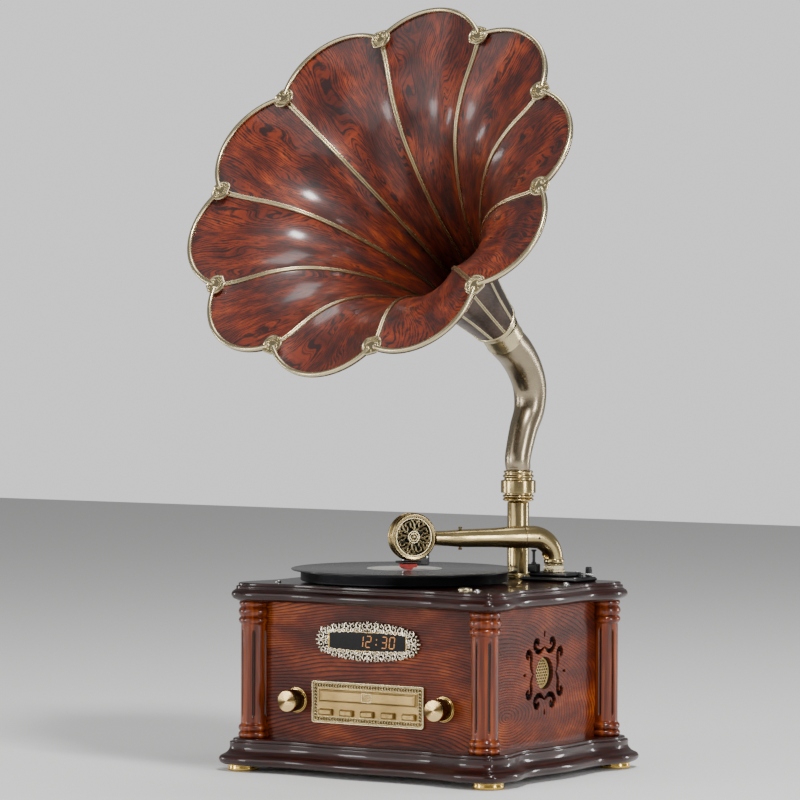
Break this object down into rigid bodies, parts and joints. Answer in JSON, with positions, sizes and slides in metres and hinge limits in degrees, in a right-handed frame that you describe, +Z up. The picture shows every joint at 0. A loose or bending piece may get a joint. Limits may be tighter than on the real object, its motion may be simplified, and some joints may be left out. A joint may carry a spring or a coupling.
{
  "type": "horn gramophone",
  "caption": "Tabletop gramophone with a petalled horn, a turntable and tonearm, and a wooden cabinet with columns, a display, knobs, keys and a disc tray.",
  "frame": {"origin": "on the floor, midway between the four feet", "axes": "+Z up, -Y out of the front with the display, +X to the right seen from the front"},
  "size_m": [0.5487, 0.5494, 1.0086],
  "materials": {
    "cabinet_wood": "reddish stained ash, satin varnish",
    "moulding_wood": "very dark mahogany stain, gloss varnish",
    "column_wood": "red-brown stain, gloss varnish, dark flutes",
    "board_wood": "plain fibreboard, unfinished",
    "polished_brass": "polished and lacquered",
    "antique_brass": "antiqued pale brass",
    "antique_bronze": "brushed antique bronze",
    "horn_lacquer": "rosewood-figured gloss lacquer on sheet metal",
    "plate_gold": "satin antique gold",
    "bezel_silver": "cast filigree, silvery antique finish",
    "display_glass": "smoked window with amber figures",
    "grille_brass": "perforated sheet, antique",
    "platter_black": "satin black",
    "record_vinyl": "pressed vinyl with a paper label",
    "steel": "plain turned steel",
    "black_plastic": "moulded, fine texture",
    "belt_rubber": "flat ground rubber",
    "board_green": "circuit board",
    "stylus_red": "clear red moulding"
  },
  "bodies": {
    "cabinet": {"feet": "polished_brass", "base_plinth": "moulding_wood", "bottom_board": "board_wood", "front_panel": "cabinet_wood", "rear_panel": "cabinet_wood", "left_panel": "cabinet_wood", "right_panel": "cabinet_wood", "front_columns": "column_wood", "rear_columns": "column_wood", "cornice": "moulding_wood", "deck_board": "moulding_wood", "speaker_grilles": "grille_brass", "speakers": "black_plastic", "display_bezel": "bezel_silver", "display_module": "display_glass", "control_plate": "plate_gold", "knob_collars": "polished_brass", "drive_motor": "steel", "platter_bearing": "black_plastic", "main_board": "board_green", "button_board": "board_green", "transformer": "steel", "mains_inlet": "black_plastic", "disc_drive": "steel", "horn_driver": "black_plastic", "horn_post": "polished_brass", "post_flange": "polished_brass", "tonearm_base": "polished_brass", "arm_rest": "black_plastic", "drive_belt": "belt_rubber", "deck_screws": "steel", "record_adapter": "black_plastic"},
    "platter_assembly": {"platter": "platter_black", "platter_spindle": "steel", "record": "record_vinyl"},
    "motor_pulley": {"motor_pulley": "steel"},
    "arm_turret": {"tonearm_elbow": "antique_brass"},
    "tonearm": {"tonearm_tube": "antique_brass", "sound_box": "antique_brass", "sound_box_face": "antique_brass", "cartridge": "black_plastic", "stylus": "stylus_red"},
    "horn": {"horn_elbow": "antique_bronze", "horn_collar": "polished_brass", "throat_ring": "antique_brass", "horn_petals": "horn_lacquer", "horn_ribs": "antique_brass", "horn_rim": "antique_brass", "horn_medallions": "antique_brass"},
    "volume_knob": {"volume_knob": "polished_brass"},
    "tuning_knob": {"tuning_knob": "polished_brass"},
    "disc_tray": {"disc_tray": "plate_gold"},
    "speed_knob": {"speed_knob": "black_plastic"},
    "lift_lever": {"lift_lever": "black_plastic"},
    "power_rocker": {"power_rocker": "black_plastic"},
    "push_button_1": {"push_button_1": "plate_gold"},
    "push_button_2": {"push_button_2": "plate_gold"},
    "push_button_3": {"push_button_3": "plate_gold"},
    "push_button_4": {"push_button_4": "plate_gold"},
    "push_button_5": {"push_button_5": "plate_gold"}
  },
  "joints": [
    {"name": "platter_spin", "type": "hinge", "parent": "cabinet", "child": "platter_assembly", "pos_m": [-0.0202, -0.0325, 0.26], "axis": [0, 0, 1], "continuous": true},
    {"name": "pulley_spin", "type": "hinge", "parent": "cabinet", "child": "motor_pulley", "pos_m": [-0.0803, 0.0276, 0.24], "axis": [0, 0, 1], "continuous": true},
    {"name": "arm_swing", "type": "hinge", "parent": "cabinet", "child": "arm_turret", "pos_m": [0.125, 0.1105, 0.272], "axis": [0, 0, 1], "range_deg": [-6, 40]},
    {"name": "arm_lift", "type": "hinge", "parent": "arm_turret", "child": "tonearm", "pos_m": [0.09931, 0.07198, 0.3245], "axis": [-0.832, 0.5548, 0], "range_deg": [0, 12]},
    {"name": "horn_turn", "type": "hinge", "parent": "cabinet", "child": "horn", "pos_m": [0.052, 0.136, 0.37], "axis": [0, 0, 1], "range_deg": [-40, 40]},
    {"name": "volume_turn", "type": "hinge", "parent": "cabinet", "child": "volume_knob", "pos_m": [-0.1158, -0.144, 0.0963], "axis": [0, -1, 0], "range_deg": [-150, 150]},
    {"name": "tuning_turn", "type": "hinge", "parent": "cabinet", "child": "tuning_knob", "pos_m": [0.1158, -0.144, 0.0963], "axis": [0, -1, 0], "continuous": true},
    {"name": "tray_slide", "type": "slide", "parent": "cabinet", "child": "disc_tray", "axis": [0, -1, 0], "range_m": [0, 0.13]},
    {"name": "speed_turn", "type": "hinge", "parent": "cabinet", "child": "speed_knob", "pos_m": [0.164, 0.136, 0.262], "axis": [0, 0, 1], "range_deg": [0, 90]},
    {"name": "lever_turn", "type": "hinge", "parent": "cabinet", "child": "lift_lever", "pos_m": [0.166, 0.112, 0.259], "axis": [0, 0, 1], "range_deg": [0, 60]},
    {"name": "rocker_tilt", "type": "hinge", "parent": "cabinet", "child": "power_rocker", "pos_m": [-0.1, 0.142, 0.08], "axis": [1, 0, 0], "range_deg": [-8, 8]},
    {"name": "button_1_press", "type": "slide", "parent": "cabinet", "child": "push_button_1", "axis": [0, 1, 0], "range_m": [0, 0.0015], "stiffness_N_per_m": 400},
    {"name": "button_2_press", "type": "slide", "parent": "cabinet", "child": "push_button_2", "axis": [0, 1, 0], "range_m": [0, 0.0015], "stiffness_N_per_m": 400},
    {"name": "button_3_press", "type": "slide", "parent": "cabinet", "child": "push_button_3", "axis": [0, 1, 0], "range_m": [0, 0.0015], "stiffness_N_per_m": 400},
    {"name": "button_4_press", "type": "slide", "parent": "cabinet", "child": "push_button_4", "axis": [0, 1, 0], "range_m": [0, 0.0015], "stiffness_N_per_m": 400},
    {"name": "button_5_press", "type": "slide", "parent": "cabinet", "child": "push_button_5", "axis": [0, 1, 0], "range_m": [0, 0.0015], "stiffness_N_per_m": 400}
  ],
  "couplings": [
    {"joint": "pulley_spin", "follows": "platter_spin", "ratio": 10.645}
  ]
}
